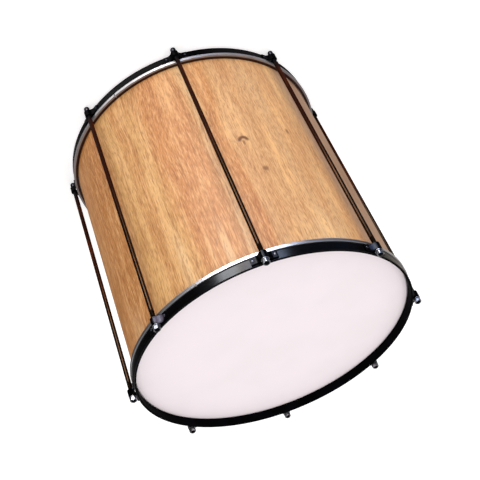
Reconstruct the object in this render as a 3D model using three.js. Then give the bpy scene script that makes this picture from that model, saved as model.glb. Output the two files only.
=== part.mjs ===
// A repique: a small wooden drum with a head at each end, tuned by eight full-length rods.
// Millimetres, +Z up, standing on the heads of its rods, with the drum's axis on Z.
import * as THREE from 'three';

// Shell
const shellDiameter = 304.8;
const shellLength = 294;
const shellWall = 6;
const edgeRound = 1; // round-over on the outside of each bearing edge
const edgeBevel = 3; // bevel on the inside of each bearing edge

// Heads and flesh rings
const film = 0.4;
const filmRound = 1.3; // outside of the film's bend into its collar
const collarEase = 1.4; // between the shell and the film's collar
const collarDrop = 0.5; // straight stretch of the film between its bend and its lip
const lipReach = 1.6; // how far the film's lip goes into the flesh ring
const lipSeat = 1.2; // from the flesh ring's top down to the film's lip
const ringWidth = 3.5;
const ringHeight = 3.8;
const ringBevel = 0.6;
const flangeGap = 0.6; // between the shell and the flesh ring's inner flange

// Counterhoops
const ringReveal = 1; // how far the flesh ring stands out beyond the hoop
const hoopThickness = 2.5;
const hoopHeight = 10.4;

// Ears, each a strap bent over its rod
const rodCount = 8;
const earWidth = 27;
const strapThickness = 1.4;
const bendRadius = 7; // where the strap leaves the hoop, on its inner face
const earLift = 0.4; // above the hoop's seated edge
const earDrop = 1.7; // below the hoop's rim

// Rods, nuts and washers
const rodDiameter = 5;
const headDiameter = 6.4;
const headHeight = 6.2;
const headBevel = 1.4;
const rodTail = 1.2; // of thread above the nut
const tipBevel = 0.5;
const nutFlats = 7;
const nutHeight = 4;
const washerDiameter = 8.2;
const washerThickness = 0.8;

// Clearances
const fitGap = 0.3; // between pieces that touch
const boreGap = 0.3; // round a rod, in its ear, washer and nut

// Facets
const drumSides = 48;
const rodSides = 16;
const loopSteps = 6;
const bendSteps = 3;
const roundSteps = 3;

// Radii from the shell outwards
const shellRadius = shellDiameter / 2;
const collarInner = shellRadius + collarEase;
const collarOuter = collarInner + film;
const flangeInner = shellRadius + flangeGap;
const ringInner = collarOuter + fitGap;
const ringOuter = ringInner + ringWidth;
const hoopOuter = ringOuter - ringReveal;
const hoopInner = hoopOuter - hoopThickness;
const rodRadius = rodDiameter / 2;
const nutCorner = nutFlats / Math.sqrt(3);
const washerRadius = washerDiameter / 2;
const rodCircle = hoopOuter + fitGap + Math.max(washerRadius, nutCorner); // clear of the hoop's rim

// Heights at one end, counted outwards from the head's playing face
const filmUnder = -film;
const shellEdge = filmUnder - fitGap;
const lipTop = -filmRound - collarDrop;
const lipBottom = lipTop - film;
const ringTop = lipTop + lipSeat;
const ringBottom = ringTop - ringHeight;
const hoopSeat = ringTop + fitGap;
const rim = hoopSeat + hoopHeight;
const earBottom = hoopSeat + earLift;
const earTop = rim - earDrop;
const washerSeat = earTop + fitGap;
const nutSeat = washerSeat + washerThickness + fitGap;
const rodTop = nutSeat + nutHeight + rodTail;

// Heights of the two playing faces above the floor
const bottomFace = headHeight + fitGap + earTop;
const topFace = bottomFace - 2 * shellEdge + shellLength;

// Finishes
const finishes = {
  wood: { color: 0xd49a69, roughness: 0.45, metalness: 0 },
  film: { color: 0xf6eff2, roughness: 0.4, metalness: 0 },
  aluminium: { color: 0xb9b4b2, roughness: 0.35, metalness: 1 },
  blackSteel: { color: 0x14151c, roughness: 0.3, metalness: 0.2 },
  rodSteel: { color: 0x1c1715, roughness: 0.35, metalness: 0.4 },
  nutSteel: { color: 0x8e8e95, roughness: 0.25, metalness: 1 },
};

const drum = new THREE.Group();

function addPiece(parent, name, geometry, finish) {
  const mesh = new THREE.Mesh(geometry, new THREE.MeshStandardMaterial(finishes[finish]));
  mesh.name = name;
  parent.add(mesh);
  return mesh;
}

// Points along an arc about (x, y), both ends included
function arc(x, y, radius, from, to, steps) {
  const points = [];
  for (let step = 0; step <= steps; step += 1) {
    const angle = from + ((to - from) * step) / steps;
    points.push(new THREE.Vector2(x + radius * Math.cos(angle), y + radius * Math.sin(angle)));
  }
  return points;
}

function at(radius, height) {
  return new THREE.Vector2(radius, height);
}

// A profile of radii and heights turned about Z
function turned(profile, sides) {
  return new THREE.LatheGeometry(profile, sides).rotateX(Math.PI / 2);
}

// A closed profile ends where it starts
function closed(profile) {
  return [...profile, profile[0].clone()];
}

function shellGeometry() {
  const inner = shellRadius - shellWall;
  const low = 0;
  const high = shellLength;
  return turned(closed([
    ...arc(shellRadius - edgeRound, low + edgeRound, edgeRound, -Math.PI / 2, 0, roundSteps),
    ...arc(shellRadius - edgeRound, high - edgeRound, edgeRound, 0, Math.PI / 2, roundSteps),
    at(inner + edgeBevel, high),
    at(inner, high - edgeBevel),
    at(inner, low + edgeBevel),
    at(inner + edgeBevel, low),
  ]), drumSides);
}

function filmGeometry() {
  const lipOuter = ringInner + lipReach;
  const roundCentre = collarOuter - filmRound;
  return turned([
    at(0, filmUnder),
    ...arc(roundCentre, -filmRound, filmRound - film, Math.PI / 2, 0, roundSteps),
    at(collarInner, lipBottom),
    at(lipOuter, lipBottom),
    at(lipOuter, lipTop),
    at(collarOuter, lipTop),
    ...arc(roundCentre, -filmRound, filmRound, 0, Math.PI / 2, roundSteps),
    at(0, 0),
  ], drumSides);
}

function fleshRingGeometry() {
  const slotDepth = ringInner + lipReach + fitGap;
  return turned(closed([
    at(flangeInner, ringBottom),
    at(ringOuter - ringBevel, ringBottom),
    at(ringOuter, ringBottom + ringBevel),
    at(ringOuter, ringTop - ringBevel),
    at(ringOuter - ringBevel, ringTop),
    at(ringInner, ringTop),
    at(ringInner, lipTop + fitGap),
    at(slotDepth, lipTop + fitGap),
    at(slotDepth, lipBottom - fitGap),
    at(flangeInner, lipBottom - fitGap),
  ]), drumSides);
}

function hoopGeometry() {
  return turned(closed([
    at(hoopInner, hoopSeat),
    at(hoopOuter, hoopSeat),
    at(hoopOuter, rim),
    at(hoopInner, rim),
  ]), drumSides);
}

// The strap's edge-on outline, with the drum's axis at (0, 0) and the rod out along +Y
function earGeometry() {
  const seat = hoopOuter + fitGap;
  const face = seat + strapThickness;
  const loopInner = rodRadius + boreGap;
  const loopOuter = loopInner + strapThickness;
  const bendInner = bendRadius - strapThickness;
  // The bend touches both the flange's seat and the loop over the rod
  const span = loopInner + bendRadius;
  const reach = seat + bendRadius;
  const lean = Math.acos((reach ** 2 - rodCircle ** 2 - span ** 2) / (2 * rodCircle * span));
  const bendX = span * Math.sin(lean);
  const bendY = rodCircle + span * Math.cos(lean);
  const bendAngle = Math.atan2(bendY, bendX);
  const endAngle = Math.acos(earWidth / 2 / seat);
  const half = Math.PI;
  const loopEnd = half / 2 - lean; // the loop runs from here round to the other side
  const outline = [
    ...arc(0, 0, seat, endAngle, bendAngle, 1),
    ...arc(bendX, bendY, bendRadius, bendAngle + half, loopEnd + half, bendSteps).slice(1),
    ...arc(0, rodCircle, loopInner, loopEnd, half - loopEnd, loopSteps).slice(1),
    ...arc(-bendX, bendY, bendRadius, -loopEnd, -bendAngle, bendSteps).slice(1),
    at(seat * Math.cos(half - endAngle), seat * Math.sin(half - endAngle)),
    ...arc(0, 0, face, half - endAngle, half - bendAngle, 1),
    ...arc(-bendX, bendY, bendInner, -bendAngle, -loopEnd, bendSteps).slice(1),
    ...arc(0, rodCircle, loopOuter, half - loopEnd, loopEnd, loopSteps).slice(1),
    ...arc(bendX, bendY, bendInner, loopEnd + half, half + bendAngle, bendSteps).slice(1),
    at(face * Math.cos(endAngle), face * Math.sin(endAngle)),
  ];
  const depth = earTop - earBottom;
  const strap = new THREE.ExtrudeGeometry(new THREE.Shape(outline), { depth, bevelEnabled: false });
  return strap.translate(0, 0, earBottom).rotateZ(-Math.PI / 2);
}

function rodGeometry() {
  const length = topFace + rodTop;
  const headRadius = headDiameter / 2;
  return turned([
    at(0, 0),
    at(headRadius - headBevel, 0),
    at(headRadius, headBevel),
    at(headRadius, headHeight),
    at(rodRadius, headHeight),
    at(rodRadius, length - tipBevel),
    at(rodRadius - tipBevel, length),
    at(0, length),
  ], rodSides);
}

function washerGeometry() {
  const bore = rodRadius + boreGap;
  return turned(closed([
    at(bore, 0),
    at(washerRadius, 0),
    at(washerRadius, washerThickness),
    at(bore, washerThickness),
  ]), rodSides);
}

function nutGeometry() {
  const corners = 6;
  const outline = new THREE.Shape(arc(0, 0, nutCorner, 0, 2 * Math.PI, corners).slice(1));
  const bore = arc(0, 0, rodRadius + boreGap, 0, 2 * Math.PI, rodSides).slice(1);
  outline.holes.push(new THREE.Path(bore));
  return new THREE.ExtrudeGeometry(outline, { depth: nutHeight, bevelEnabled: false });
}

function rodAngle(index) {
  return -Math.PI / 2 + (2 * Math.PI * index) / rodCount;
}

// One end of the drum: its head, flesh ring, counterhoop and ears
function addEnd(end, name, turn) {
  addPiece(end, `${name}_head_film`, filmGeometry(), 'film');
  addPiece(end, `${name}_flesh_ring`, fleshRingGeometry(), 'aluminium');
  addPiece(end, `${name}_hoop`, hoopGeometry(), 'blackSteel');
  for (let index = 0; index < rodCount; index += 1) {
    const ear = addPiece(end, `${name}_ear_${index + 1}`, earGeometry(), 'blackSteel');
    ear.rotation.z = turn * rodAngle(index);
  }
  drum.add(end);
}

const topEnd = new THREE.Group();
topEnd.position.z = topFace;
addEnd(topEnd, 'top', 1);

const bottomEnd = new THREE.Group();
bottomEnd.position.z = bottomFace;
bottomEnd.rotation.x = Math.PI;
addEnd(bottomEnd, 'bottom', -1);

const shell = addPiece(drum, 'shell', shellGeometry(), 'wood');
shell.position.z = bottomFace - shellEdge;

for (let index = 0; index < rodCount; index += 1) {
  const lug = new THREE.Group();
  const angle = rodAngle(index);
  lug.position.set(rodCircle * Math.cos(angle), rodCircle * Math.sin(angle), 0);
  lug.rotation.z = angle;
  addPiece(lug, `tension_rod_${index + 1}`, rodGeometry(), 'rodSteel');
  const washer = addPiece(lug, `washer_${index + 1}`, washerGeometry(), 'nutSteel');
  washer.position.z = topFace + washerSeat;
  const nut = addPiece(lug, `tension_nut_${index + 1}`, nutGeometry(), 'nutSteel');
  nut.position.z = topFace + nutSeat;
  drum.add(lug);
}

export default drum;
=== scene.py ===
import math
import bmesh
import bpy
from mathutils import Matrix, Vector


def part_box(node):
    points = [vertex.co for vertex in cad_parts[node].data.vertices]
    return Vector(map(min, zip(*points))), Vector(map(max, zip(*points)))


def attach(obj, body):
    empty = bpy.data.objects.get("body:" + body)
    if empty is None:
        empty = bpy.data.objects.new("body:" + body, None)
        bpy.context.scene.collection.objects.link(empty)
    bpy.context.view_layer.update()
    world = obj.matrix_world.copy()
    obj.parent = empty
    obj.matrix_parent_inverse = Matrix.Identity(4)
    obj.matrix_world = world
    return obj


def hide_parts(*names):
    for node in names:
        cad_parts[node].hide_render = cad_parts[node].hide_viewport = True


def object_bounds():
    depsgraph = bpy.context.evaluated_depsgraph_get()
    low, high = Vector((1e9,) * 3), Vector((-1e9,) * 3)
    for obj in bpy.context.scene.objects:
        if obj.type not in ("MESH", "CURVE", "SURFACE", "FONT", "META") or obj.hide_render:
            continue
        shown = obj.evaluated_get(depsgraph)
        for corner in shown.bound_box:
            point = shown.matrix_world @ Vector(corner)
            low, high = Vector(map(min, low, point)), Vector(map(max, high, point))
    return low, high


# Repique drum: wooden shell, two film heads, flat black hoops and eight full-length rods.
# Metres, +Z along the drum's axis, first rod at -Y.
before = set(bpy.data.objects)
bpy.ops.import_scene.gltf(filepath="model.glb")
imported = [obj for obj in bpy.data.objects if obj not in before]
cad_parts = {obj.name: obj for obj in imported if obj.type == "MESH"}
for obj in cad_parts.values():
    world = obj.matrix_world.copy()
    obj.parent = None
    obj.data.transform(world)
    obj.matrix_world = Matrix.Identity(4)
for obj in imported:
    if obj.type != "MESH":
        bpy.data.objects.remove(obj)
cadLow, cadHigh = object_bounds()
print("frame loaded")

rodCount = 8
rodNumbers = range(1, rodCount + 1)
fitGap = 0.0003  # between pieces that touch
fullTurn = 2 * math.pi

shellLow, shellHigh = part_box("shell")
filmLow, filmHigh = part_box("top_head_film")
ringLow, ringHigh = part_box("top_flesh_ring")
hoopLow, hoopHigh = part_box("top_hoop")
earLow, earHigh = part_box("top_ear_1")
rodLow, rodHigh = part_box("tension_rod_1")
washerLow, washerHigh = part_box("washer_1")
nutLow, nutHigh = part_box("tension_nut_1")
middle = (shellLow.z + shellHigh.z) / 2  # the two ends mirror about this height
rodCircle = -(rodLow.y + rodHigh.y) / 2
shellRadius = shellHigh.x
hoopRadius = hoopHigh.x


def named(stem):
    return [f"{stem}_{number}" for number in rodNumbers]


# Shader and geometry node sockets as values in sums
class Wire:
    def __init__(self, tree, socket=None):
        self.tree = tree
        self.socket = socket

    def feed(self, target, value):
        if isinstance(value, Wire):
            self.tree.links.new(value.socket, target)
        else:
            target.default_value = value

    def node(self, kind, settings=None, sockets=None, out=0):
        made = self.tree.nodes.new(kind)
        for name, value in (settings or {}).items():
            if name == "stops":
                self.setStops(made.color_ramp.elements, value)
            else:
                setattr(made, name, value)
        for name, value in (sockets or {}).items():
            self.feed(made.inputs[name], value)
        return Wire(self.tree, made.outputs[out])

    def setStops(self, elements, stops):
        while len(elements) < len(stops):
            elements.new(1)
        for element, (place, colour) in zip(elements, stops):
            element.position = place
            element.color = colour

    def maths(self, operation, *values):
        return self.node("ShaderNodeMath", {"operation": operation}, dict(enumerate(values)))

    def __add__(self, other):
        return self.maths("ADD", self, other)

    def __sub__(self, other):
        return self.maths("SUBTRACT", self, other)

    def __rsub__(self, other):
        return self.maths("SUBTRACT", other, self)

    def __mul__(self, other):
        return self.maths("MULTIPLY", self, other)

    def __truediv__(self, other):
        return self.maths("DIVIDE", self, other)

    def __pow__(self, other):
        return self.maths("POWER", self, other)

    # 0 below low, 1 above high, smooth between
    def between(self, low, high):
        sockets = {0: self, 1: low, 2: high, 3: 0.0, 4: 1.0}
        return self.node("ShaderNodeMapRange", {"interpolation_type": "SMOOTHSTEP"}, sockets)

    # A colour from low to high as this value goes from 0 to 1
    def colours(self, low, high):
        return self.node("ShaderNodeMix", {"data_type": "RGBA"}, {0: self, 6: low, 7: high}, out=2)

    def bump(self, distance, strength):
        sockets = {"Height": self, "Distance": distance, "Strength": strength}
        return self.node("ShaderNodeBump", None, sockets)

    # Noise with its grain stretched along the drum's axis
    def grain(self, across, along, detail=2.0, shift=0.0):
        placed = {"Vector": self, "Location": (shift, -shift, shift), "Scale": (across, across, along)}
        sockets = {"Vector": self.node("ShaderNodeMapping", None, placed), "Scale": 1.0, "Detail": detail}
        return self.node("ShaderNodeTexNoise", None, sockets)

    def axis(self, letter):
        return self.node("ShaderNodeSeparateXYZ", None, {0: self}, out=letter)

    # Reach of a vector along a direction
    def along(self, direction):
        sockets = {0: self, 1: direction}
        return self.node("ShaderNodeVectorMath", {"operation": "DOT_PRODUCT"}, sockets, out="Value")

    def absolute(self):
        return self.maths("ABSOLUTE", self)


# A colour from 8-bit screen values
def paint(red, green, blue):
    levels = [value / 255 for value in (red, green, blue)]
    return tuple(v / 12.92 if v < 0.04045 else ((v + 0.055) / 1.055) ** 2.4 for v in levels) + (1.0,)


def startMaterial(name, fixed):
    material = bpy.data.materials.new(name)
    material.use_nodes = True
    shader = material.node_tree.nodes["Principled BSDF"]
    for socket, value in fixed.items():
        shader.inputs[socket].default_value = value
    sheet = Wire(material.node_tree)
    return material, shader.inputs, sheet.node("ShaderNodeTexCoord", out="Object")


# Points along an arc, both ends included
def arc(x, y, radius, fromAngle, toAngle, steps):
    turns = [fromAngle + (toAngle - fromAngle) * step / steps for step in range(steps + 1)]
    return [(x + radius * math.cos(turn), y + radius * math.sin(turn)) for turn in turns]


# A closed outline with its corners rounded; each corner is (across, up, radius)
def rounded(corners, steps=4):
    guard = 0.4  # of the radius: a point on each side keeps the flats flat under smooth shading
    outline = []
    for place, (across, up, radius) in enumerate(corners):
        corner = Vector((across, up))
        if radius == 0:
            outline.append((across, up))
            continue
        before = (Vector(corners[place - 1][:2]) - corner).normalized()
        after = (Vector(corners[(place + 1) % len(corners)][:2]) - corner).normalized()
        half = before.angle(after) / 2
        reach = radius / math.tan(half)
        centre = corner + (before + after).normalized() * radius / math.sin(half)
        start = corner + before * reach - centre
        end = corner + after * reach - centre
        fromAngle = math.atan2(start.y, start.x)
        turn = (math.atan2(end.y, end.x) - fromAngle + math.pi) % fullTurn - math.pi
        outline.append(tuple(corner + before * (reach + guard * radius)))
        outline += arc(centre.x, centre.y, radius, fromAngle, fromAngle + turn, steps)
        outline.append(tuple(corner + after * (reach + guard * radius)))
    return outline


def circle(radius, height, sides):
    if radius == 0:
        return [(0.0, 0.0, height)]
    return [(*spot, height) for spot in arc(0, 0, radius, 0, fullTurn, sides)[:-1]]


# A skin over rows of points; a row of one point is a pole
def loft(name, rows, looped=False, capped=False, sharpAngle=35):
    width = max(len(row) for row in rows)
    points = [point for row in rows for point in row]
    places = []
    used = 0
    for row in rows:
        places.append([used + (column if len(row) > 1 else 0) for column in range(width)])
        used += len(row)
    pairs = list(zip(places, places[1:]))
    if looped:
        pairs.append((places[-1], places[0]))
    faces = []
    for lower, upper in pairs:
        for column in range(width):
            following = (column + 1) % width
            corners = (lower[column], lower[following], upper[following], upper[column])
            faces.append(list(dict.fromkeys(corners)))
    if capped:
        faces += [places[0][::-1], places[-1]]
    mesh = bpy.data.meshes.new(name)
    mesh.from_pydata(points, [], faces)
    return tidied(mesh, sharpAngle)


# Faces outwards, smooth where the surface is smooth
def tidied(mesh, sharpAngle=35):
    shape = bmesh.new()
    shape.from_mesh(mesh)
    bmesh.ops.recalc_face_normals(shape, faces=shape.faces)
    shape.to_mesh(mesh)
    shape.free()
    mesh.shade_smooth()
    mesh.set_sharp_from_angle(angle=math.radians(sharpAngle))
    return mesh


def turned(name, profile, sides):
    rows = [circle(radius, height, sides) for radius, height in profile]
    return loft(name, rows, looped=profile[0][0] > 0)


# The same outline at the other end of the drum
def atEnd(end, profile):
    if end == "top":
        return profile
    return [(radius, 2 * middle - height) for radius, height in profile]


def meshAtEnd(end, mesh):
    if end == "bottom":
        mesh.transform(Matrix.Translation((0, 0, 2 * middle)) @ Matrix.Diagonal((1, 1, -1, 1)))
        tidied(mesh)
    return mesh


def buildAroundDrum():
    tree = bpy.data.node_groups.new("aroundDrum", "GeometryNodeTree")
    kinds = {"Master": "Geometry", "Places": "Int", "First": "Int", "Count": "Int", "Finish": "Material"}
    for name, kind in kinds.items():
        tree.interface.new_socket(name=name, in_out="INPUT", socket_type="NodeSocket" + kind)
    tree.interface.new_socket(name="Copies", in_out="OUTPUT", socket_type="NodeSocketGeometry")
    sheet = Wire(tree)
    given = {name: sheet.node("NodeGroupInput", out=name) for name in kinds}
    angle = (sheet.node("GeometryNodeInputIndex") + given["First"]) * fullTurn / given["Places"]
    turn = sheet.node("FunctionNodeAxisAngleToRotation", None, {"Axis": (0, 0, 1), "Angle": angle})
    points = sheet.node("GeometryNodePoints", None, {"Count": given["Count"]})
    sockets = {"Points": points, "Instance": given["Master"], "Rotation": turn}
    copies = sheet.node("GeometryNodeInstanceOnPoints", None, sockets)
    real = sheet.node("GeometryNodeRealizeInstances", None, {"Geometry": copies})
    painted = sheet.node("GeometryNodeSetMaterial", None, {"Geometry": real, "Material": given["Finish"]})
    sheet.feed(tree.nodes.new("NodeGroupOutput").inputs["Copies"], painted)
    return tree


aroundDrum = buildAroundDrum()


# Copies of a mesh made at the first rod, one at each of the rods asked for
def repeated(name, master, finish, first=0, count=rodCount):
    piece = bpy.data.objects.new(name, master)
    bpy.context.scene.collection.objects.link(piece)
    modifier = piece.modifiers.new("aroundDrum", "NODES")
    modifier.node_group = aroundDrum
    chosen = {"Places": rodCount, "First": first, "Count": count, "Finish": finish}
    for item in aroundDrum.interface.items_tree:
        if item.name in chosen:
            modifier[item.identifier] = chosen[item.name]
    bpy.context.view_layer.update()
    shown = piece.evaluated_get(bpy.context.evaluated_depsgraph_get())
    mesh = bpy.data.meshes.new_from_object(shown)
    mesh.name = name
    piece.modifiers.remove(modifier)
    piece.data = mesh
    return piece


def single(name, mesh, finish):
    mesh.materials.append(finish)
    piece = bpy.data.objects.new(name, mesh)
    bpy.context.scene.collection.objects.link(piece)
    return piece


def fitted(piece, body, nodes=()):
    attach(piece, body)
    if nodes:
        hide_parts(*nodes)
    return piece


# Shell of lacquered veneer
shell = {
    "wall": 0.006,
    "edgeRound": 0.001,
    "edgeBevel": 0.003,
    "bevelRounds": (0.0004, 0.0008),  # at the bearing edge and at the bore
    "sides": 288,
    "grain": {  # across, along, detail, shift
        "sway": (16, 7, 1.0, 3.1),
        "sheets": (9, 1.2, 1.0, 7.7),
        "bands": (44, 4.5, 2.0, 1.3),
        "plumes": (105, 9, 2.0, 3.3),
        "streaks": (260, 12, 3.0, 4.9),
        "dashes": (560, 42, 2.0, 9.2),
        "fibres": (1050, 120, 2.0, 5.5),
        "cloud": (45, 22, 3.0, 2.2),
    },
    "grainSway": 0.014,  # how far the grain wanders sideways
    "stripSway": 0.012,  # and the strips
    "bright": paint(233, 184, 127),
    "pale": paint(212, 160, 102),
    "amber": paint(193, 126, 70),
    "olive": paint(204, 156, 97),
    "blond": paint(205, 164, 121),
    "tan": paint(175, 110, 48),
    # a greyer rose, painted shade on the flank facing azimuth -168
    "rosy": paint(138, 112, 100),
    "leaves": {  # azimuth of the middle in degrees, share of the radius where the leaf starts
        "blond": (-121, 0.84),
        # the tan leaf is veneer colour and painted shade, on the side turned from the side light
        "tan": (-14, 0.82),
        # not a leaf of veneer: painted shade on the flank facing this azimuth
        "rosy": (-168, 0.82),
    },
    "leafFade": 0.06,  # as a share of the radius
    "streak": paint(160, 100, 50),
    "pore": paint(132, 80, 42),
    "straw": paint(220, 176, 114),
    "ginger": paint(195, 126, 69),
    "cream": paint(238, 204, 156),
    "stripFade": 0.06,  # height over which a strip sets in
    "strips": [  # azimuth in degrees, half width, height where it starts, colour, strength
        (-48.0, 0.0110, -1.0, "straw", 0.55),
        (-75.0, 0.0200, -1.0, "ginger", 0.65),
        (-73.0, 0.0070, -1.0, "ginger", 0.4),
        (-83.0, 0.0090, -1.0, "ginger", 0.7),
        # painted sheen: a pale strip where the shell faces the camera, beside rod 1
        (-88.4, 0.0036, -1.0, "cream", 0.5),
        (-95.0, 0.0090, -1.0, "ginger", 0.6),
        (-56.3, 0.0032, 0.19, "streak", 0.3),
        (-63.0, 0.0060, 0.21, "cream", 0.5),
        (-80.0, 0.0040, 0.23, "cream", 0.5),
        (-96.2, 0.0040, 0.15, "ginger", 0.6),
        (-116.0, 0.0200, 0.25, "cream", 0.45),
        (-31.0, 0.0120, 0.25, "cream", 0.4),
    ],
    "knot": paint(112, 70, 40),
    # painted shade beside the flesh rings
    "stainAndShade": paint(34, 15, 9),
    "shadeHeight": 0.0038,  # of the painted shade: a dark band at each end, just past the flesh ring
    "shadeFade": (-0.0004, 0.0003),
    "knotArch": (-102.2, 0.157, 0.0048, 0.0056),  # azimuth in degrees, height, half width, half height
    "specks": [  # as the arch
        (-102.0, 0.160, 0.0016, 0.0042),
        (-105.6, 0.201, 0.0036, 0.0040),
        (-123.6, 0.143, 0.0022, 0.0050),
    ],
}


# Distance from a spot on the shell and height above it, in half widths and half heights
def fromSpot(position, azimuth, height, halfWidth, halfHeight):
    turn = math.radians(azimuth)
    centre = (shellRadius * math.cos(turn), shellRadius * math.sin(turn), height)
    away = position.node("ShaderNodeVectorMath", {"operation": "SUBTRACT"}, {0: position, 1: centre})
    across = away.along((-math.sin(turn), math.cos(turn), 0)) / halfWidth
    up = away.axis("Z") / halfHeight
    depth = away.along((math.cos(turn), math.sin(turn), 0)) / halfWidth
    return (across * across + up * up + depth * depth) ** 0.5, up


# 1 over the leaf of veneer that faces an azimuth, 0 elsewhere
def veneerLeaf(position, azimuth, share, fade):
    turn = math.radians(azimuth)
    facing = position.along((math.cos(turn), math.sin(turn), 0))
    return facing.between(shellRadius * share, shellRadius * (share + fade))


# 1 along a strip that sways with the grain, at an azimuth, 0 beside it
def grainStrip(position, shift, azimuth, halfWidth):
    turn = math.radians(azimuth)
    across = position.along((-math.sin(turn), math.cos(turn), 0)) + shift
    return 1 - across.absolute().between(halfWidth * 0.5, halfWidth * 1.3)


def woodFinish(look):
    fixed = {"Coat Roughness": 0.28, "Coat IOR": 1.45, "Specular IOR Level": 0.2}
    material, inputs, position = startMaterial("lacqueredVeneer", fixed)
    grain = look["grain"]
    leaves = look["leaves"]
    fade = look["leafFade"]
    sway = position.grain(*grain["sway"])
    sideways = (look["grainSway"], look["grainSway"], 0)
    offset = position.node("ShaderNodeVectorMath", {"operation": "SCALE"}, {0: sideways, "Scale": sway})
    grainy = position.node("ShaderNodeVectorMath", {"operation": "ADD"}, {0: position, 1: offset})
    height = position.axis("Z")
    leaf = veneerLeaf(grainy, *leaves["blond"], fade)
    # the tan leaf: veneer colour, darkened as painted shade on the side turned from the side light
    tanLeafAndShade = veneerLeaf(grainy, *leaves["tan"], fade)
    rosyShadeFlank = veneerLeaf(position, *leaves["rosy"], fade)
    sheets = position.grain(*grain["sheets"]).between(0.35, 0.65)
    bands = grainy.grain(*grain["bands"]).between(0.34, 0.68)
    plumes = grainy.grain(*grain["plumes"])
    streaks = grainy.grain(*grain["streaks"]).between(0.48, 0.74)
    dashes = grainy.grain(*grain["dashes"])
    fibres = grainy.grain(*grain["fibres"])
    cloud = position.grain(*grain["cloud"])
    colour = sheets.colours(look["pale"], look["olive"])
    colour = (leaf * 0.85).colours(colour, look["blond"])
    colour = (tanLeafAndShade * 0.9).colours(colour, look["tan"])
    colour = (bands * (0.55 - leaf * 0.12)).colours(colour, look["amber"])
    shift = (sway - 0.5) * look["stripSway"]
    for azimuth, halfWidth, start, tint, strength in look["strips"]:
        strip = grainStrip(position, shift, azimuth, halfWidth)
        strip = strip * height.between(start, start + look["stripFade"])
        colour = (strip * strength).colours(colour, look[tint])
    colour = (plumes.between(0.5, 0.7) * (0.6 - tanLeafAndShade * 0.3)).colours(colour, look["bright"])
    colour = ((1 - plumes.between(0.28, 0.46)) * (0.5 - leaf * 0.2)).colours(colour, look["streak"])
    colour = (streaks * (0.55 - leaf * 0.25)).colours(colour, look["streak"])
    colour = ((1 - dashes.between(0.3, 0.48)) * (0.5 - leaf * 0.2)).colours(colour, look["streak"])
    colour = (dashes.between(0.52, 0.7) * (0.4 - leaf * 0.15)).colours(colour, look["bright"])
    colour = ((1 - fibres.between(0.28, 0.5)) * 0.5).colours(colour, look["pore"])
    colour = (fibres.between(0.5, 0.72) * 0.5).colours(colour, look["bright"])
    # painted shade: a greyer rose over the flank facing azimuth -168
    colour = (rosyShadeFlank * 0.65).colours(colour, look["rosy"])
    for speck in look["specks"]:
        distance = fromSpot(position, *speck)[0]
        colour = ((1 - distance.between(0.3, 1.3)) * 0.7).colours(colour, look["knot"])
    # a dark arch on the side of the knot that faces the foot of the drum
    distance, up = fromSpot(position, *look["knotArch"])
    arch = distance.between(0.25, 0.75) * (1 - distance.between(1.0, 1.5)) * (1 - up.between(-0.3, 0.5))
    colour = (arch * 0.95).colours(colour, look["knot"])
    # painted shade: a dark band at each end, just past the flesh ring
    brink = (shellHigh.z - shellLow.z) / 2 - look["shadeHeight"]
    shadedEnds = (height - middle).absolute().between(*[brink + step for step in look["shadeFade"]])
    colour = (shadedEnds * 0.95).colours(colour, look["stainAndShade"])
    position.feed(inputs["Base Color"], colour)
    position.feed(inputs["Roughness"], fibres * 0.2 + 0.4)
    position.feed(inputs["Coat Weight"], 0.11 - cloud * 0.06)
    position.feed(inputs["Normal"], (fibres + dashes * 0.5 - streaks * 0.4).bump(0.0002, 0.25))
    return material


def makeShell(look, finish):
    inner = shellRadius - look["wall"]
    bevel = look["edgeBevel"]
    edge = look["edgeRound"]
    atEdge, atBore = look["bevelRounds"]
    low, high = shellLow.z, shellHigh.z
    profile = rounded([
        (shellRadius, low, edge),
        (shellRadius, high, edge),
        (inner + bevel, high, atEdge),
        (inner, high - bevel, atBore),
        (inner, low + bevel, atBore),
        (inner + bevel, low, atEdge),
    ])
    piece = single("shell_veneer", turned("shell_veneer", profile, look["sides"]), finish)
    fitted(piece, "drum", ["shell"])


makeShell(shell, woodFinish(shell))
print("shell made")


# Film heads, each with a collar over the bearing edge and a lip in the flesh ring
film = {
    "thickness": 0.0004,
    "round": 0.0009,  # outside radius of the bend into the collar
    "ease": 0.0014,  # between the shell and the collar
    "sides": 288,
    "flats": (0.2, 0.5, 0.8, 0.94, 0.99, 0.998),  # rings over the flat, as shares of its radius
    "bendSteps": 6,
    "white": paint(249, 237, 241),
    "cloud": paint(246, 235, 238),
}


def filmFinish(look):
    material, inputs, position = startMaterial("headFilm", {"Specular IOR Level": 0.4})
    cloud = position.grain(16, 16, 2.0, 1.0)
    speckle = position.grain(900, 900, 2.0, 5.0)
    position.feed(inputs["Base Color"], cloud.between(0.35, 0.7).colours(look["white"], look["cloud"]))
    position.feed(inputs["Roughness"], speckle * 0.14 + 0.4)
    position.feed(inputs["Normal"], (speckle + cloud * 2).bump(0.00006, 0.2))
    return material


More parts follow.
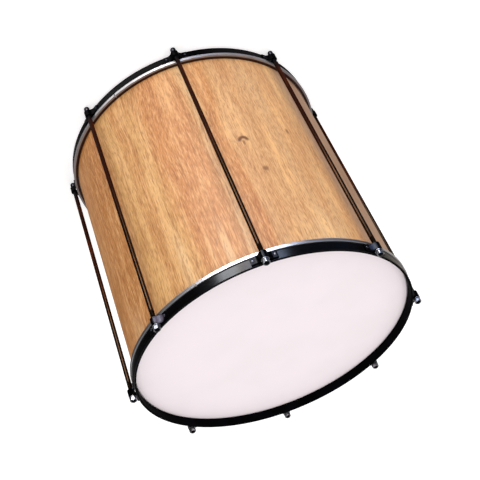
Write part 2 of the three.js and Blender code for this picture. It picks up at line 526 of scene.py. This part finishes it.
def makeFilm(end, look, finish):
    thick = look["thickness"]
    bend = look["round"]
    steps = look["bendSteps"]
    face = filmHigh.z
    lipOuter = filmHigh.x
    lipLow = filmLow.z
    collarOuter = shellRadius + look["ease"] + thick
    bendRadius = collarOuter - bend
    quarter = math.pi / 2
    flats = [bendRadius * share for share in look["flats"]]
    lip = [
        (collarOuter - thick, lipLow),
        (lipOuter, lipLow),
        (lipOuter, lipLow + thick),
        (collarOuter, lipLow + thick),
    ]
    profile = [(0, face - thick)]
    profile += [(radius, face - thick) for radius in flats]
    profile += arc(bendRadius, face - bend, bend - thick, quarter, 0, steps)
    profile += lip
    profile += arc(bendRadius, face - bend, bend, 0, quarter, steps)
    profile += [(radius, face) for radius in reversed(flats)]
    profile.append((0, face))
    name = f"{end}_film"
    piece = single(name, turned(name, atEnd(end, profile), look["sides"]), finish)
    fitted(piece, "drum", [f"{end}_head_film"])


filmWhite = filmFinish(film)
for end in ("top", "bottom"):
    makeFilm(end, film, filmWhite)
print("heads made")


# Flesh rings, a folded aluminium channel with one butt joint
fleshRing = {
    "width": 0.0035,
    "outerRound": 0.0004,
    "innerRound": 0.0003,
    "flangeGap": 0.0006,  # between the shell and the inner flange
    "lipReach": 0.0016,  # how far the film's lip goes in
    "joint": 0.0011,
    "jointAzimuth": {"top": -64.7, "bottom": -60.0},
    "sides": 288,
    "bright": paint(230, 228, 230),
    "dull": paint(192, 188, 190),
    # painted shade in the gap beside the shell
    "gapShade": paint(46, 18, 10),
    "gapShadeReach": 0.1556,  # radius where the painted shade thins out
    "gapShadeFade": 0.0004,
    "rubbing": (5200, 14, 9),  # of the brushed lines: across, and slowly along X and Y
}


def aluminiumFinish(look):
    material, inputs, position = startMaterial("brushedAluminium", {"Specular IOR Level": 0.2})
    x, y, z = (position.axis(letter) for letter in "XYZ")
    radius = (x * x + y * y) ** 0.5
    across, alongX, alongY = look["rubbing"]
    sockets = {"X": radius * across, "Y": z * across, "Z": x * alongX + y * alongY}
    rubbed = position.node("ShaderNodeCombineXYZ", None, sockets)
    lines = position.node("ShaderNodeTexNoise", None, {"Vector": rubbed, "Scale": 1.0, "Detail": 2.0})
    stainAndShade = position.grain(55, 55, 2.0, 6.0)
    colour = lines.between(0.3, 0.7).colours(look["dull"], look["bright"])
    colour = (stainAndShade.between(0.55, 0.75) * 0.5).colours(colour, look["dull"])
    # painted shade beside the shell, on the face that looks along it: dark and not metallic
    edge = ringLow.z - middle
    reach = look["gapShadeReach"]
    fade = look["gapShadeFade"]
    unshaded = (z - middle).absolute().between(edge + fade / 4, edge + fade)
    thinnedShade = radius.between(reach, reach + fade) * 0.4
    unshaded = unshaded.maths("MAXIMUM", unshaded, thinnedShade)
    position.feed(inputs["Base Color"], unshaded.colours(look["gapShade"], colour))
    position.feed(inputs["Metallic"], unshaded)
    position.feed(inputs["Roughness"], lines * 0.16 + stainAndShade * 0.1 + 0.22)
    position.feed(inputs["Normal"], lines.bump(0.00004, 0.25))
    return material


def makeFleshRing(end, look, finish):
    outer = ringHigh.x
    inner = outer - look["width"]
    flange = shellRadius + look["flangeGap"]
    outerRound = look["outerRound"]
    innerRound = look["innerRound"]
    low, high = ringLow.z, ringHigh.z
    slotDepth = inner + look["lipReach"] + fitGap
    lipLow = filmLow.z - fitGap
    lipHigh = filmLow.z + film["thickness"] + fitGap
    section = atEnd(end, rounded([
        (flange, low, innerRound),
        (outer, low, outerRound),
        (outer, high, outerRound),
        (inner, high, innerRound),
        (inner, lipHigh, 0),
        (slotDepth, lipHigh, 0),
        (slotDepth, lipLow, 0),
        (flange, lipLow, 0),
    ]))
    gap = look["joint"] / outer
    start = math.radians(look["jointAzimuth"][end]) + gap / 2
    rows = []
    for step in range(look["sides"] + 1):
        turn = start + (fullTurn - gap) * step / look["sides"]
        x, y = math.cos(turn), math.sin(turn)
        rows.append([(radius * x, radius * y, height) for radius, height in section])
    name = f"{end}_channel"
    piece = single(name, loft(name, rows, capped=True), finish)
    fitted(piece, "drum", [f"{end}_flesh_ring"])


aluminium = aluminiumFinish(fleshRing)
for end in ("top", "bottom"):
    makeFleshRing(end, fleshRing, aluminium)
print("flesh rings made")


# Counterhoops of flat bar, black gloss enamel
hoop = {
    "thickness": 0.0025,
    "edge": 0.0006,
    "sides": 288,
    "body": {"top": "top_hoop", "bottom": "drum"},
    "glossStart": (-0.0009, -0.0003),  # from the hoop's outside radius
    "earStart": (0.0001, 0.0002),
    "black": paint(1, 1, 2),
    "worn": paint(5, 5, 9),
    "scuffsAndReflections": [  # painted reflections and scuffs on two ears: azimuth in degrees, reach, colour
        (-47.0, 0.0065, paint(92, 87, 102)),
        (-132.8, 0.0048, paint(38, 46, 66)),
    ],
}


# Gloss on the outside, less on the ears and the lower hoop, none inside the rim
def enamelFinish(look):
    fixed = {"Specular IOR Level": 0.02, "Coat Roughness": 0.2, "Coat IOR": 1.5}
    material, inputs, position = startMaterial("blackEnamel", fixed)
    peel = position.grain(420, 420, 1.0, 2.0)
    smear = position.grain(45, 45, 3.0, 8.0)
    x, y = position.axis("X"), position.axis("Y")
    radius = (x * x + y * y) ** 0.5
    outside = radius.between(*[hoopRadius + step for step in look["glossStart"]])
    onEars = radius.between(*[hoopRadius + step for step in look["earStart"]])
    upper = position.axis("Z").between(middle - 0.01, middle + 0.01)
    gloss = outside * (0.5 - smear * 0.3) * (1 - onEars * 0.7) * (upper * 0.7 + 0.3)
    colour = smear.between(0.45, 0.75).colours(look["black"], look["worn"])
    # painted reflections and scuffs on two ears
    for azimuth, reach, tint in look["scuffsAndReflections"]:
        turn = math.radians(azimuth)
        spot = (rodCircle * math.cos(turn), rodCircle * math.sin(turn), (earLow.z + earHigh.z) / 2)
        sockets = {0: position, 1: spot}
        away = position.node("ShaderNodeVectorMath", {"operation": "DISTANCE"}, sockets, out="Value")
        scuffAndReflection = (1 - away.between(reach * 0.5, reach)) * onEars
        colour = scuffAndReflection.colours(colour, tint)
    position.feed(inputs["Base Color"], colour)
    position.feed(inputs["Roughness"], smear * 0.18 + 0.6 - outside * 0.4)
    position.feed(inputs["Coat Weight"], gloss)
    position.feed(inputs["Normal"], peel.bump(0.00008, 0.2))
    return material


def makeHoop(end, look, finish):
    outer = hoopRadius
    inner = outer - look["thickness"]
    edge = look["edge"]
    low, high = hoopLow.z, hoopHigh.z
    section = rounded([(inner, low, edge), (outer, low, edge), (outer, high, edge), (inner, high, edge)])
    name = f"{end}_counterhoop"
    piece = single(name, turned(name, atEnd(end, section), look["sides"]), finish)
    fitted(piece, look["body"][end], [f"{end}_hoop"])


enamel = enamelFinish(hoop)
for end in ("top", "bottom"):
    makeHoop(end, hoop, enamel)
print("hoops made")


# Ears of bent strap
ear = {
    "thickness": 0.0014,
    "width": 0.027,
    "bendRadius": 0.007,  # where the strap leaves the hoop, on its inner face
    "boreGap": 0.0003,
    "rodRadius": 0.0025,
    "edge": 0.0004,
    "edgeSteps": 3,
    "steps": {"flange": 4, "bend": 9, "loop": 18},
}


# Pairs of points on the strap's two faces, from one end to the other
def strapStations(look):
    seat = hoopRadius + fitGap
    face = seat + look["thickness"]
    loopInner = look["rodRadius"] + look["boreGap"]
    loopOuter = loopInner + look["thickness"]
    bend = look["bendRadius"]
    bendInner = bend - look["thickness"]
    reach = seat + bend
    apart = loopInner + bend
    lean = math.acos((reach ** 2 - rodCircle ** 2 - apart ** 2) / (2 * rodCircle * apart))
    bendX = apart * math.sin(lean)
    bendY = rodCircle + apart * math.cos(lean)
    bendAngle = math.atan2(bendY, bendX)
    endAngle = math.acos(look["width"] / 2 / seat)
    edge = look["edge"]
    steps = look["steps"]
    half = math.pi
    loopEnd = half / 2 - lean

    def span(x, y, inner, outer, fromAngle, toAngle, count):
        innerArc = arc(x, y, inner, fromAngle, toAngle, count)
        outerArc = arc(x, y, outer, fromAngle, toAngle, count)
        return list(zip(innerArc, outerArc))

    inset = edge / seat
    right = span(0, 0, seat, face, endAngle + inset, bendAngle, steps["flange"])
    right += span(bendX, bendY, bend, bendInner, half + bendAngle, half + loopEnd, steps["bend"])[1:]
    left = [((-a[0], a[1]), (-b[0], b[1])) for a, b in reversed(right)]
    loop = span(0, rodCircle, loopInner, loopOuter, loopEnd, half - loopEnd, steps["loop"])[1:-1]
    stations = [(*pair, 0) for pair in right + loop + left]
    # rounded ends: two shrinking sections past each end
    for share in (0.7, 1.0):
        angle = endAngle + inset * (1 - share)
        shrink = edge * (1 - math.sqrt(1 - share ** 2))
        pair = span(0, 0, seat, face, angle, half - angle, 1)
        stations.insert(0, (*pair[0], shrink))
        stations.append((*pair[1], shrink))
    return stations


def strapMesh(look):
    thick = look["thickness"]
    edge = look["edge"]
    low, high = earLow.z, earHigh.z
    half = (low + high) / 2
    corners = [(0, low, edge), (thick, low, edge), (thick, high, edge), (0, high, edge)]
    section = rounded(corners, look["edgeSteps"])
    rows = []
    for inner, outer, shrink in strapStations(look):
        depthScale = 1 - 2 * shrink / thick
        heightScale = 1 - 2 * shrink / (high - low)
        row = []
        for depth, height in section:
            share = 0.5 + (depth / thick - 0.5) * depthScale
            rise = half + (height - half) * heightScale
            x = inner[0] + (outer[0] - inner[0]) * share
            y = inner[1] + (outer[1] - inner[1]) * share
            row.append((-x, -y, rise))
        rows.append(row)
    return loft("strap", rows, capped=True)


for end in ("top", "bottom"):
    straps = repeated(f"{end}_straps", meshAtEnd(end, strapMesh(ear)), enamel)
    fitted(straps, hoop["body"][end], named(f"{end}_ear"))
print("ears made")


# Tension rods with a round head below and a thread above
rod = {
    "radius": 0.0025,
    "headHeight": 0.0062,
    "headRound": 0.0014,
    "headSteps": 5,
    "headEdge": (0.0003, 0.0005),  # chamfer round the top of the head: in, down
    "neck": (0.0002, 0.0003),  # fillet under the shank: out, up
    "neckGuard": 0.001,  # a row above the fillet
    "socketWidth": 0.0025,  # across the flats of the key socket in the head
    "socketDepth": 0.0018,
    "socketPoint": 0.0006,  # cone at the bottom of the socket
    "socketEdge": (0.0005, 0.0003),  # chamfer of the socket: wider, up
    "pitch": 0.0008,
    "threadDepth": 0.00042,
    "threadLength": 0.024,
    "threadCrest": 0.12,  # shares of the pitch: flat crest, then flank
    "threadFlank": 0.68,
    "tipBevel": 0.0005,
    "tipEdge": 0.0001,
    "sides": 24,
    "rowsPerTurn": 8,
    # the reddish browns are partly a painted reflection of the wood
    "black": paint(38, 12, 3),
    "rubbed": paint(84, 34, 9),
    "sheenTan": paint(38, 28, 18),  # tan metal on the upper half, whose highlights are a painted reflection of the wood
    "sheenHeights": (0.11, 0.21),
    "ends": paint(10, 10, 13),  # in the ears and beside them
    "endFade": (0.01, 0.03),  # heights above the head
    "head": paint(50, 50, 54),
    "headFade": (0.0, 0.001),
}


def rodFinish(look):
    material, inputs, position = startMaterial("blackRod", {"Specular IOR Level": 0.03})
    drawn = position.grain(2600, 30, 2.0, 3.0)
    patchy = position.grain(180, 24, 3.0, 6.0)
    rubbed = patchy.between(0.5, 0.72) * 0.7 + drawn.between(0.55, 0.75) * 0.2
    height = position.axis("Z")
    shank = height.between(*[look["headHeight"] + step for step in look["endFade"]])
    shank = shank * (1 - height.between(earLow.z, earHigh.z))
    # tan metal on the upper half: its highlights are a painted reflection of the wood
    worn = height.between(*look["sheenHeights"]) * (1 - drawn * 0.4)
    head = 1 - height.between(*[look["headHeight"] + step for step in look["headFade"]])
    colour = rubbed.colours(look["black"], look["rubbed"])
    colour = worn.colours(colour, look["sheenTan"])
    colour = shank.colours(look["ends"], colour)
    position.feed(inputs["Base Color"], head.colours(colour, look["head"]))
    position.feed(inputs["Roughness"], drawn * 0.1 + 0.14)
    position.feed(inputs["Metallic"], worn + head)
    position.feed(inputs["Normal"], drawn.bump(0.00003, 0.2))
    return material


# A hexagon's outline, corners along X, each rounded off by edge
def hexRow(flats, height, sides, edge=0.0):
    sixth = math.pi / 6
    inset = flats / 2 - edge
    flatEnd = math.atan(inset * math.tan(sixth) / (flats / 2))
    centre = inset / math.cos(sixth)
    row = []
    for column in range(sides):
        turn = fullTurn * column / sides
        toFlat = abs((turn % (2 * sixth)) - sixth)
        reach = flats / 2 / math.cos(toFlat)
        if edge and toFlat > flatEnd:
            away = sixth - toFlat
            reach = centre * math.cos(away) + math.sqrt(edge ** 2 - (centre * math.sin(away)) ** 2)
        row.append((reach * math.cos(turn), reach * math.sin(turn), height))
    return row


# Share of the thread's depth at a place along one pitch
def threadForm(share, look):
    flank = abs(2 * (share % 1) - 1)
    return min(max((flank - look["threadCrest"]) / look["threadFlank"], 0), 1)


def rodMesh(look):
    sides = look["sides"]
    radius = look["radius"]
    low, high = rodLow.z, rodHigh.z
    headRadius = (rodHigh.x - rodLow.x) / 2
    headTop = low + look["headHeight"]
    bend = look["headRound"]
    flats = look["socketWidth"]
    socketTop = low + look["socketDepth"]
    wider, rim = look["socketEdge"]
    edgeIn, edgeDown = look["headEdge"]
    neckOut, neckUp = look["neck"]
    rows = [
        [(0, 0, socketTop + look["socketPoint"])],
        hexRow(flats, socketTop, sides),
        hexRow(flats, low + rim, sides),
        hexRow(flats + wider, low, sides),
    ]
    head = arc(headRadius - bend, low + bend, bend, -math.pi / 2, 0, look["headSteps"])
    head += [
        (headRadius, headTop - edgeDown),
        (headRadius - edgeIn, headTop),
        (radius + neckOut, headTop),
        (radius, headTop + neckUp),
        (radius, headTop + look["neckGuard"]),
    ]
    rows += [circle(reach, height, sides) for reach, height in head]
    tip = high - look["tipBevel"]
    start = tip - look["threadLength"]
    rise = look["pitch"] / look["rowsPerTurn"]
    count = round((tip - start) / rise)
    for step in range(count + 1):
        height = start + (tip - start) * step / count
        depth = look["threadDepth"] * min(1, (height - start) / (2 * look["pitch"]))
        row = []
        for column in range(sides):
            turn = fullTurn * column / sides
            reach = radius - depth * threadForm(height / look["pitch"] - column / sides, look)
            row.append((reach * math.cos(turn), reach * math.sin(turn), height))
        rows.append(row)
    edge = look["tipEdge"]
    core = radius - look["threadDepth"] - edge
    rows += [circle(core, high - edge, sides), circle(core * 0.9, high, sides), [(0, 0, high)]]
    mesh = loft("rod", rows, sharpAngle=50)
    mesh.transform(Matrix.Translation((0, -rodCircle, 0)))
    return mesh


rods = repeated("rods", rodMesh(rod), rodFinish(rod))
fitted(rods, "drum", named("tension_rod"))
rods.visible_shadow = False  # light from all round leaves no shadow beside a thin rod
print("rods made")


# Washers and nuts, bright plated steel
nut = {
    "bore": 0.0028,
    "countersink": 0.0004,
    "edge": 0.0011,  # roundness of the upright edges
    "disc": 0.965,  # share of the flats left flat on top, inside the cone
    "coneAngle": 30,
    "sides": 144,
    "washerEdge": 0.0002,
    "washerEdgeSteps": 2,
    "washerSides": 40,
    "bright": paint(186, 186, 190),
    "grey": paint(90, 90, 97),
}


def platedFinish(name, look):
    material, inputs, position = startMaterial(name, {"Metallic": 1.0})
    smear = position.grain(700, 700, 3.0, 4.0)
    fine = position.grain(5200, 1500, 2.0, 1.0)
    position.feed(inputs["Base Color"], smear.between(0.4, 0.7).colours(look["bright"], look["grey"]))
    position.feed(inputs["Roughness"], smear * 0.16 + fine * 0.06 + 0.24)
    position.feed(inputs["Normal"], fine.bump(0.00002, 0.15))
    return material


def washerMesh(look):
    edge = look["washerEdge"]
    outer = (washerHigh.x - washerLow.x) / 2
    low, high = washerLow.z, washerHigh.z
    bore = look["bore"]
    corners = [(bore, low, edge), (outer, low, edge), (outer, high, edge), (bore, high, edge)]
    mesh = turned("washer", rounded(corners, look["washerEdgeSteps"]), look["washerSides"])
    mesh.transform(Matrix.Translation((0, -rodCircle, 0)))
    return mesh


# Hexagon nut with a cone turned off its corners and a countersunk bore
def nutMesh(look):
    sides = look["sides"]
    flats = nutHigh.x - nutLow.x
    low, high = nutLow.z, nutHigh.z
    bore = look["bore"]
    sink = look["countersink"]
    disc = flats / 2 * look["disc"]
    slope = math.tan(math.radians(look["coneAngle"]))
    top = []
    bottom = []
    for x, y, height in hexRow(flats, 0, sides, look["edge"]):
        reach = math.hypot(x, y)
        drop = max(reach - disc, 0) * slope
        top.append((x, y, high - drop))
        bottom.append((x, y, low + drop))
    rows = [
        circle(bore + sink, low, sides),
        circle(bore, low + sink, sides),
        circle(bore, high - sink, sides),
        circle(bore + sink, high, sides),
        circle(disc, high, sides),
        top,
        bottom,
        circle(disc, low, sides),
    ]
    mesh = loft("nut", rows, looped=True, sharpAngle=22)
    # corners point at the drum's axis
    mesh.transform(Matrix.Translation((0, -rodCircle, 0)) @ Matrix.Rotation(math.pi / 2, 4, "Z"))
    return mesh


plated = platedFinish("platedSteel", nut)
washers = repeated("washers", washerMesh(nut), plated)
fitted(washers, "top_hoop", named("washer"))
nutMaster = nutMesh(nut)
for number in rodNumbers:
    piece = repeated(f"nut_{number}_hex", nutMaster, plated, first=number - 1, count=1)
    fitted(piece, f"nut_{number}", [f"tension_nut_{number}"])
print("washers and nuts made")


# Rivets, two to each ear
rivet = {
    "radius": 0.0015,
    "height": 0.0006,
    "tail": 0.0004,  # inside the strap
    "place": 0.0112,  # sideways from the rod
    "dome": (0, 0.3, 0.6, 0.9, 1.2, 1.4),  # angles up the dome
    "sides": 20,
    "tones": {  # the lower ones are darker
        "top": {"bright": paint(112, 112, 120), "grey": paint(58, 58, 66)},
        "bottom": {"bright": paint(56, 56, 62), "grey": paint(30, 30, 35)},
    },
}


def joined(name, meshes):
    shape = bmesh.new()
    for mesh in meshes:
        shape.from_mesh(mesh)
    whole = bpy.data.meshes.new(name)
    shape.to_mesh(whole)
    shape.free()
    return tidied(whole)


def rivetPair(look):
    radius = look["radius"]
    height = look["height"]
    tail = -look["tail"]
    face = hoopRadius + fitGap + ear["thickness"]
    dome = [(radius * math.cos(turn), height * math.sin(turn)) for turn in look["dome"]]
    profile = [(0, tail), (radius, tail)] + dome + [(0, height)]
    pair = []
    for side in (-1, 1):
        turn = -math.pi / 2 + side * math.asin(look["place"] / face)
        out = Vector((math.cos(turn), math.sin(turn), 0))
        spot = out * face + Vector((0, 0, (earLow.z + earHigh.z) / 2))
        mesh = turned("rivet", profile, look["sides"])
        mesh.transform(Matrix.Translation(spot) @ out.to_track_quat("Z", "Y").to_matrix().to_4x4())
        pair.append(mesh)
    return joined("rivetPair", pair)


for end in ("top", "bottom"):
    rivetSteel = platedFinish(f"{end}RivetSteel", rivet["tones"][end])
    rivets = repeated(f"{end}_rivets", meshAtEnd(end, rivetPair(rivet)), rivetSteel)
    fitted(rivets, hoop["body"][end])
print("rivets made")


# Pale floor
floor = {
    "size": 12.0,
    "glow": 0.42,  # lit from below, as a light table is
    "white": paint(250, 250, 250),
    "shade": paint(246, 246, 246),
}


def makeFloor(look):
    fixed = {
        "Specular IOR Level": 0.0,
        "Roughness": 0.9,
        "Emission Color": look["white"],
        "Emission Strength": look["glow"],
    }
    material, inputs, position = startMaterial("paleFloor", fixed)
    cloud = position.grain(2.5, 2.5, 2.0, 1.0)
    position.feed(inputs["Base Color"], cloud.colours(look["white"], look["shade"]))
    half = look["size"] / 2
    mesh = bpy.data.meshes.new("floor")
    corners = [(-half, -half), (half, -half), (half, half), (-half, half)]
    mesh.from_pydata([(x, y, cadLow.z) for x, y in corners], [], [(0, 1, 2, 3)])
    piece = single("floor", mesh, material)
    piece.visible_glossy = False  # the lacquer and enamel mirror the studio, not the floor
    piece.visible_shadow = False  # the low softbox shines up through it


makeFloor(floor)
print("floor made")


# Soft studio light: a pale room, and softboxes by azimuth, elevation and distance from the drum
room = {
    "below": 0.05,
    "horizon": 0.9,
    "above": 0.38,
    "horizonStart": (-0.12, -0.02),
    "ceilingStart": (0.3, 0.6),
}
softboxes = {
    "ceiling": {
        "aim": (0, 90, 2.0),
        "size": (3.0, 3.0),
        "watts": 30.0,
        "tint": (1.0, 1.0, 1.0),
        "mirrored": False,
    },
    "side": {
        "aim": (-98, 14, 1.8),
        "size": (1.4, 1.4),
        "watts": 10.8,
        "tint": (1.0, 0.97, 0.94),
        "mirrored": False,
    },
    "front": {
        "aim": (-71, -22, 1.0),
        "size": (0.25, 0.25),
        "watts": 4.7,
        "tint": (0.92, 0.95, 1.0),
        "mirrored": True,
    },
    "slate": {
        "aim": (-98, -22, 1.0),
        "size": (0.5, 0.25),
        "watts": 4.8,
        "tint": (0.58, 0.71, 1.0),
        "mirrored": True,
    },
    "right": {
        "aim": (-147, -22, 0.98),
        "size": (0.7, 0.25),
        "watts": 0.1,
        "tint": (0.3, 0.5, 1.0),
        "mirrored": True,
    },
    "back": {
        "aim": (148, -22, 1.0),
        "size": (0.6, 0.3),
        "watts": 0.32,
        "tint": (1.0, 0.92, 0.78),
        "mirrored": True,
    },
    "low": {
        "aim": (-84, -29.7, 0.933),
        "size": (0.16, 0.3),
        "watts": 2.2,
        "tint": (1.0, 0.84, 0.66),
        "mirrored": True,
    },
    "footLeft": {
        "aim": (20, -47.2, 0.81),
        "size": (0.7, 0.14),
        "watts": 0.08,
        "tint": (1.0, 0.88, 0.92),
        "mirrored": True,
    },
    "footRight": {
        "aim": (-152, -47.2, 0.81),
        "size": (1.0, 0.14),
        "watts": 0.22,
        "tint": (1.0, 0.9, 0.94),
        "mirrored": True,
    },
    "footBack": {
        "aim": (116, -47.2, 0.81),
        "size": (1.0, 0.16),
        "watts": 0.24,
        "tint": (1.0, 0.9, 0.8),
        "mirrored": True,
    },
    "foot": {
        "aim": (-56, -47.2, 0.81),
        "size": (0.9, 0.16),
        "watts": 0.8,
        "tint": (1.0, 0.98, 0.97),
        "mirrored": True,
    },
}


def paintGrey(level):
    return (level, level, level, 1.0)


def makeRoom(look):
    world = bpy.data.worlds.new("studio")
    world.use_nodes = True
    bpy.context.scene.world = world
    sheet = Wire(world.node_tree)
    height = sheet.node("ShaderNodeTexCoord", out="Generated").axis("Z")
    below, horizon, above = (paintGrey(look[name]) for name in ("below", "horizon", "above"))
    shade = height.between(*look["horizonStart"]).colours(below, horizon)
    shade = height.between(*look["ceilingStart"]).colours(shade, above)
    sheet.feed(world.node_tree.nodes["Background"].inputs["Color"], shade)


# A softbox either shows in what is polished or lights what is matt
def makeSoftbox(name, look):
    light = bpy.data.lights.new(name, "AREA")
    light.shape = "RECTANGLE"
    light.size, light.size_y = look["size"]
    light.energy = look["watts"]
    light.color = look["tint"]
    lamp = bpy.data.objects.new(name, light)
    azimuth, elevation, distance = look["aim"]
    turn = math.radians(azimuth)
    tilt = math.radians(elevation)
    flat = math.cos(tilt)
    away = Vector((math.cos(turn) * flat, math.sin(turn) * flat, math.sin(tilt)))
    lamp.location = Vector((0, 0, middle)) + away * distance
    lamp.rotation_euler = (-away).to_track_quat("-Z", "Y").to_euler()
    lamp.visible_glossy = look["mirrored"]
    lamp.visible_diffuse = not look["mirrored"]
    bpy.context.scene.collection.objects.link(lamp)


makeRoom(room)
for name, look in softboxes.items():
    makeSoftbox(f"{name}Softbox", look)
bpy.context.scene.view_settings.view_transform = "Standard"
print("lights made")


# Camera above the drum and rolled over, so that the top head shows at the foot of the picture
view = {
    "place": (0.10431, -0.80333, 0.77179),
    "target": (-0.00785, -0.00110, 0.16846),
    "roll": 156.9457,
    "lens": 64.549,
    "sensor": 36,
}


def makeCamera(look):
    data = bpy.data.cameras.new("camera")
    data.sensor_width = look["sensor"]
    data.lens = look["lens"]
    camera = bpy.data.objects.new("camera", data)
    back = (Vector(look["place"]) - Vector(look["target"])).normalized()
    side = Vector((0, 0, 1)).cross(back).normalized()
    up = back.cross(side)
    roll = math.radians(look["roll"])
    right = side * math.cos(roll) + up * math.sin(roll)
    above = up * math.cos(roll) - side * math.sin(roll)
    axes = Matrix((right, above, back)).transposed().to_4x4()
    camera.matrix_world = Matrix.Translation(look["place"]) @ axes
    bpy.context.scene.collection.objects.link(camera)
    bpy.context.scene.camera = camera


makeCamera(view)
print("camera made")
